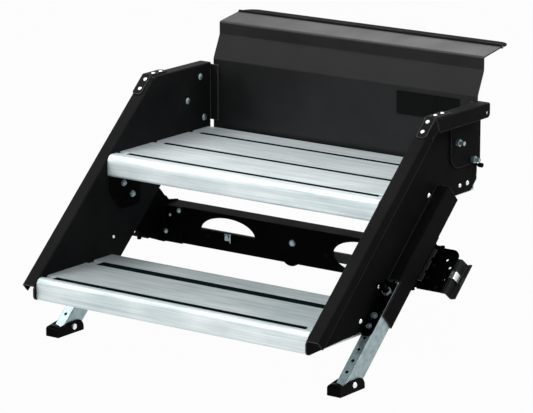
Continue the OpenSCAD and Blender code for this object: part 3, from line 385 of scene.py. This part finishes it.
def finish_pieces():
    """Makes each finish and gives it to its pieces."""
    # Matt plates with a painted highlight along every fold
    paint(
        powder_coat(
            "matt black powder coat", "#1b1b1c", "#242425", (0.42, 0.54), specular=0.01,
            fold_highlight="#6c6c6d", fold_width=0.0024,
        ),
        both("mount_bracket", "side_plate", "corner_strap"),
    )
    # A satin panel, shinier than the plates, with painted light and shade by the faces' lean
    paint(
        powder_coat(
            "satin black powder coat", "#19191a", "#212122", (0.34, 0.44), specular=0.15,
            fold_highlight="#2a2a2b", bent_sheet=True,
        ),
        ["back_panel"],
    )
    # Flat, nearly black steel under and beside the treads; its near-black tone is partly painted shade
    paint(
        powder_coat(
            "flat black primer", "#050506", "#0a0a0b", (0.5, 0.6), specular=0.01, fold_highlight="#2c2c2d"
        ),
        ["crossbar", "bar_rivets", *both("tread_gusset", "crossbar_gusset", "end_plate", "pin_bracket")],
    )
    # The dullest coat, even and without painted fold highlights
    paint(
        powder_coat("black grit coat", "#161616", "#202020", (0.6, 0.7), specular=0.01),
        ["threshold_leaf"],
    )
    # Dark grey steel, with a faint painted highlight along folds
    paint(
        powder_coat(
            "grey polyester powder coat", "#2c2d2e", "#363738", (0.36, 0.46), specular=0.1,
            fold_highlight="#2a2a2b",
        ),
        ["crossbar_bar", *both("notched_strip", "frame_hook")],
    )
    # Pale, softly shining treads with long fine lines, and painted light and shade by facing
    paint(
        extruded_aluminium("clear anodised aluminium", "#b4c1c5", "#edf2f2", UPPER_FACING),
        ["upper_tread"],
    )
    # The lower tread: darker tones and a darker level top, painted shade under the upper tread
    paint(
        extruded_aluminium("clear anodised aluminium, lower, painted shade", "#acbabe", "#e8eeee", LOWER_FACING),
        ["lower_tread"],
    )
    # Cool grey, cloudy and only half shiny
    paint(
        zinc_plate("bright zinc plating", "#87989b", "#a9b8bb", (0.45, 0.6)),
        [
            "hinge_pin", "bracket_bolts", "bracket_nuts", "gusset_bolts", "crossbar_bolts",
            "crossbar_clip", "pin_bracket_nuts", *both("leg_tube", "leg_pin", "pin_spring"),
        ],
    )
    # The brightest metal, for rivets, screws and clips
    paint(
        zinc_plate("polished rivet steel", "#dfe2e4", "#f1f2f2", (0.25, 0.35)),
        ["hook_clips", "strap_rivets", "tread_screws", "web_rivets", *both("foot_bolt")],
    )
    # Nearly black, with a low shine
    paint(
        moulded(
            "black nylon moulding", "#050505", "#090909", (0.35, 0.45), specular=0.02,
            pebble_m=0.0016, strength=0.08,
        ),
        both("foot", "pin_knob"),
    )
    # Dull black
    paint(
        moulded(
            "black rubber", "#070808", "#0c0d0d", (0.55, 0.7), specular=0.03,
            pebble_m=0.002, strength=0.1,
        ),
        ["bumpers"],
    )
    # Dull dark lines with a blue cast in the treads' grooves
    paint(
        moulded(
            "blue-black strip rubber", "#0a1416", "#0e1a1c", (0.7, 0.8), specular=0.0,
            pebble_m=0.002, strength=0.1,
        ),
        ["tread_strips"],
    )
    # Smoother than the panel that it lies on
    paint(
        moulded(
            "black enamelled plate", "#08080a", "#0c0c0d", (0.3, 0.36), specular=0.05,
            pebble_m=0.004, strength=0.02,
        ),
        ["label_plate"],
    )


def make_floor():
    """A pale floor that shows white to the camera and keeps the object's shadow."""
    bpy.ops.object.select_all(action="DESELECT")
    bpy.ops.mesh.primitive_grid_add(size=FLOOR_SIDE, location=(0, 0, GROUND_Z))
    floor = bpy.context.object
    floor.name = "studio_floor"
    material, tree = new_material("white studio paper")
    path = add_node(tree, "ShaderNodeLightPath")
    paper = add_node(tree, "ShaderNodeBsdfDiffuse", {"Color": linear(PAPER_TONE)})
    glow = add_node(tree, "ShaderNodeEmission", {"Color": linear("#ffffff"), "Strength": 1.0})
    seen = add_node(
        tree,
        "ShaderNodeMath",
        {"operation": "MAXIMUM"},
        {0: path.outputs["Is Camera Ray"], 1: path.outputs["Is Glossy Ray"]},
    )
    share = add_node(
        tree,
        "ShaderNodeMath",
        {"operation": "MULTIPLY", 1: PAPER_GLOW},
        {0: seen.outputs[0]},
    )
    mixed = add_node(
        tree,
        "ShaderNodeMixShader",
        sources={0: share.outputs[0], 1: paper.outputs[0], 2: glow.outputs[0]},
    )
    add_node(tree, "ShaderNodeOutputMaterial", sources={"Surface": mixed.outputs[0]})
    floor.data.materials.append(material)


def make_world():
    """An even pale surround: white to the camera and in reflections, and softer as a light."""
    world = bpy.data.worlds.new("studio")
    bpy.context.scene.world = world
    world.use_nodes = True
    tree = world.node_tree
    tree.nodes.clear()
    path = add_node(tree, "ShaderNodeLightPath")
    mirrored = add_node(
        tree,
        "ShaderNodeMath",
        {"operation": "MAXIMUM"},
        {0: path.outputs["Is Glossy Ray"], 1: path.outputs["Is Transmission Ray"]},
    )
    seen = add_node(
        tree,
        "ShaderNodeMath",
        {"operation": "MAXIMUM"},
        {0: path.outputs["Is Camera Ray"], 1: mirrored.outputs[0]},
    )
    strength = add_node(
        tree,
        "ShaderNodeMapRange",
        {"To Min": WORLD_FILL, "To Max": 1.0},
        {"Value": seen.outputs[0]},
    )
    back = add_node(
        tree,
        "ShaderNodeBackground",
        {"Color": linear("#ffffff")},
        {"Strength": strength.outputs["Result"]},
    )
    add_node(tree, "ShaderNodeOutputWorld", sources={"Surface": back.outputs[0]})


def make_softbox(name, at, target, side, watts):
    """A square area lamp that faces its target."""
    lamp = bpy.data.lights.new(name, "AREA")
    lamp.size = side
    lamp.energy = watts
    box = bpy.data.objects.new(name, lamp)
    box.location = at
    box.rotation_euler = (Vector(target) - Vector(at)).to_track_quat("-Z", "Y").to_euler()
    bpy.context.collection.objects.link(box)


def make_camera():
    """A camera at the place from which the photograph was taken."""
    camera = bpy.data.cameras.new("camera")
    camera.lens = LENS_MM
    camera.sensor_width = SENSOR_MM
    camera.clip_end = CLIP_END
    holder = bpy.data.objects.new("camera", camera)
    holder.location = CAMERA_AT
    holder.rotation_euler = (math.radians(CAMERA_TILT), 0, math.radians(CAMERA_TURN))
    bpy.context.collection.objects.link(holder)
    bpy.context.scene.camera = holder


finish_pieces()
make_floor()
make_world()
for softbox in SOFTBOXES:
    make_softbox(*softbox)
make_camera()
bpy.context.scene.view_settings.view_transform = "Standard"
